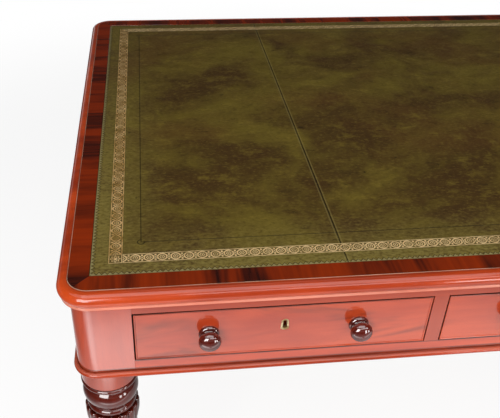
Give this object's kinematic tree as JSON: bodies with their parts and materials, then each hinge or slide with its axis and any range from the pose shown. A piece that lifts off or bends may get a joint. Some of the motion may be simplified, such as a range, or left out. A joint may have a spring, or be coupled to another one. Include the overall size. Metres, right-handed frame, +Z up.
{
  "type": "partners desk",
  "caption": "Leather-topped partners desk in table form, with drawers and turned knobs on both long sides, turned reeded legs and brass castors.",
  "frame": {"origin": "on the floor under the middle of the desk", "axes": "+X along the desk's length, +Y from the front to the back, +Z up"},
  "size_m": [1.79, 1.2466, 0.77],
  "materials": {
    "mahogany": "french polished",
    "drawer_face_mahogany": "french polished",
    "crossband_mahogany": "french polished, grain across",
    "leg_mahogany": "french polished, turned",
    "knob_rosewood": "french polished, turned",
    "carcase_wood": "unpolished",
    "drawer_oak": "unpolished",
    "leather": "mottled green hide, gold and blind tooled",
    "brass": "aged polish",
    "iron": "dull"
  },
  "bodies": {
    "desk": {"top_board": "carcase_wood", "top_edge_moulding": "mahogany", "crossbanding": "crossband_mahogany", "leather_left": "leather", "leather_centre": "leather", "leather_right": "leather", "leg_front_left": "leg_mahogany", "leg_front_right": "leg_mahogany", "leg_back_left": "leg_mahogany", "leg_back_right": "leg_mahogany", "top_rails": "mahogany", "bottom_rails": "mahogany", "end_rails": "mahogany", "drawer_dividers": "mahogany", "frieze_moulding": "mahogany", "centre_spine": "carcase_wood", "drawer_runners": "carcase_wood", "top_screws": "iron", "castor_front_left_socket": "brass", "castor_front_right_socket": "brass", "castor_back_left_socket": "brass", "castor_back_right_socket": "brass"},
    "castor_front_left_swivel": {"castor_front_left_fork": "brass"},
    "castor_front_left_roller": {"castor_front_left_wheel": "brass"},
    "castor_front_right_swivel": {"castor_front_right_fork": "brass"},
    "castor_front_right_roller": {"castor_front_right_wheel": "brass"},
    "castor_back_left_swivel": {"castor_back_left_fork": "brass"},
    "castor_back_left_roller": {"castor_back_left_wheel": "brass"},
    "castor_back_right_swivel": {"castor_back_right_fork": "brass"},
    "castor_back_right_roller": {"castor_back_right_wheel": "brass"},
    "front_left_drawer": {"front_left_drawer_face": "drawer_face_mahogany", "front_left_drawer_box": "drawer_oak", "front_left_drawer_knobs": "knob_rosewood", "front_left_drawer_lock": "brass"},
    "front_left_drawer_latch": {"front_left_drawer_bolt": "brass"},
    "front_centre_drawer": {"front_centre_drawer_face": "drawer_face_mahogany", "front_centre_drawer_box": "drawer_oak", "front_centre_drawer_knobs": "knob_rosewood", "front_centre_drawer_lock": "brass"},
    "front_centre_drawer_latch": {"front_centre_drawer_bolt": "brass"},
    "front_right_drawer": {"front_right_drawer_face": "drawer_face_mahogany", "front_right_drawer_box": "drawer_oak", "front_right_drawer_knobs": "knob_rosewood", "front_right_drawer_lock": "brass"},
    "front_right_drawer_latch": {"front_right_drawer_bolt": "brass"},
    "back_left_drawer": {"back_left_drawer_face": "drawer_face_mahogany", "back_left_drawer_box": "drawer_oak", "back_left_drawer_knobs": "knob_rosewood", "back_left_drawer_lock": "brass"},
    "back_left_drawer_latch": {"back_left_drawer_bolt": "brass"},
    "back_centre_drawer": {"back_centre_drawer_face": "drawer_face_mahogany", "back_centre_drawer_box": "drawer_oak", "back_centre_drawer_knobs": "knob_rosewood", "back_centre_drawer_lock": "brass"},
    "back_centre_drawer_latch": {"back_centre_drawer_bolt": "brass"},
    "back_right_drawer": {"back_right_drawer_face": "drawer_face_mahogany", "back_right_drawer_box": "drawer_oak", "back_right_drawer_knobs": "knob_rosewood", "back_right_drawer_lock": "brass"},
    "back_right_drawer_latch": {"back_right_drawer_bolt": "brass"}
  },
  "joints": [
    {"name": "castor_front_left_turn", "type": "hinge", "parent": "desk", "child": "castor_front_left_swivel", "pos_m": [-0.82825, -0.54325, 0.0435], "axis": [0, 0, 1], "continuous": true},
    {"name": "castor_front_left_roll", "type": "hinge", "parent": "castor_front_left_swivel", "child": "castor_front_left_roller", "pos_m": [-0.81225, -0.54325, 0.019], "axis": [0, 1, 0], "continuous": true},
    {"name": "castor_front_right_turn", "type": "hinge", "parent": "desk", "child": "castor_front_right_swivel", "pos_m": [0.82825, -0.54325, 0.0435], "axis": [0, 0, 1], "continuous": true},
    {"name": "castor_front_right_roll", "type": "hinge", "parent": "castor_front_right_swivel", "child": "castor_front_right_roller", "pos_m": [0.84425, -0.54325, 0.019], "axis": [0, 1, 0], "continuous": true},
    {"name": "castor_back_left_turn", "type": "hinge", "parent": "desk", "child": "castor_back_left_swivel", "pos_m": [-0.82825, 0.54325, 0.0435], "axis": [0, 0, 1], "continuous": true},
    {"name": "castor_back_left_roll", "type": "hinge", "parent": "castor_back_left_swivel", "child": "castor_back_left_roller", "pos_m": [-0.81225, 0.54325, 0.019], "axis": [0, 1, 0], "continuous": true},
    {"name": "castor_back_right_turn", "type": "hinge", "parent": "desk", "child": "castor_back_right_swivel", "pos_m": [0.82825, 0.54325, 0.0435], "axis": [0, 0, 1], "continuous": true},
    {"name": "castor_back_right_roll", "type": "hinge", "parent": "castor_back_right_swivel", "child": "castor_back_right_roller", "pos_m": [0.84425, 0.54325, 0.019], "axis": [0, 1, 0], "continuous": true},
    {"name": "front_left_drawer_slide", "type": "slide", "parent": "desk", "child": "front_left_drawer", "axis": [0, -1, 0], "range_m": [0, 0.42]},
    {"name": "front_left_drawer_lock_slide", "type": "slide", "parent": "front_left_drawer", "child": "front_left_drawer_latch", "axis": [0, 0, 1], "range_m": [0, 0.007]},
    {"name": "front_centre_drawer_slide", "type": "slide", "parent": "desk", "child": "front_centre_drawer", "axis": [0, -1, 0], "range_m": [0, 0.42]},
    {"name": "front_centre_drawer_lock_slide", "type": "slide", "parent": "front_centre_drawer", "child": "front_centre_drawer_latch", "axis": [0, 0, 1], "range_m": [0, 0.007]},
    {"name": "front_right_drawer_slide", "type": "slide", "parent": "desk", "child": "front_right_drawer", "axis": [0, -1, 0], "range_m": [0, 0.42]},
    {"name": "front_right_drawer_lock_slide", "type": "slide", "parent": "front_right_drawer", "child": "front_right_drawer_latch", "axis": [0, 0, 1], "range_m": [0, 0.007]},
    {"name": "back_left_drawer_slide", "type": "slide", "parent": "desk", "child": "back_left_drawer", "axis": [0, 1, 0], "range_m": [0, 0.42]},
    {"name": "back_left_drawer_lock_slide", "type": "slide", "parent": "back_left_drawer", "child": "back_left_drawer_latch", "axis": [0, 0, 1], "range_m": [0, 0.007]},
    {"name": "back_centre_drawer_slide", "type": "slide", "parent": "desk", "child": "back_centre_drawer", "axis": [0, 1, 0], "range_m": [0, 0.42]},
    {"name": "back_centre_drawer_lock_slide", "type": "slide", "parent": "back_centre_drawer", "child": "back_centre_drawer_latch", "axis": [0, 0, 1], "range_m": [0, 0.007]},
    {"name": "back_right_drawer_slide", "type": "slide", "parent": "desk", "child": "back_right_drawer", "axis": [0, 1, 0], "range_m": [0, 0.42]},
    {"name": "back_right_drawer_lock_slide", "type": "slide", "parent": "back_right_drawer", "child": "back_right_drawer_latch", "axis": [0, 0, 1], "range_m": [0, 0.007]}
  ]
}
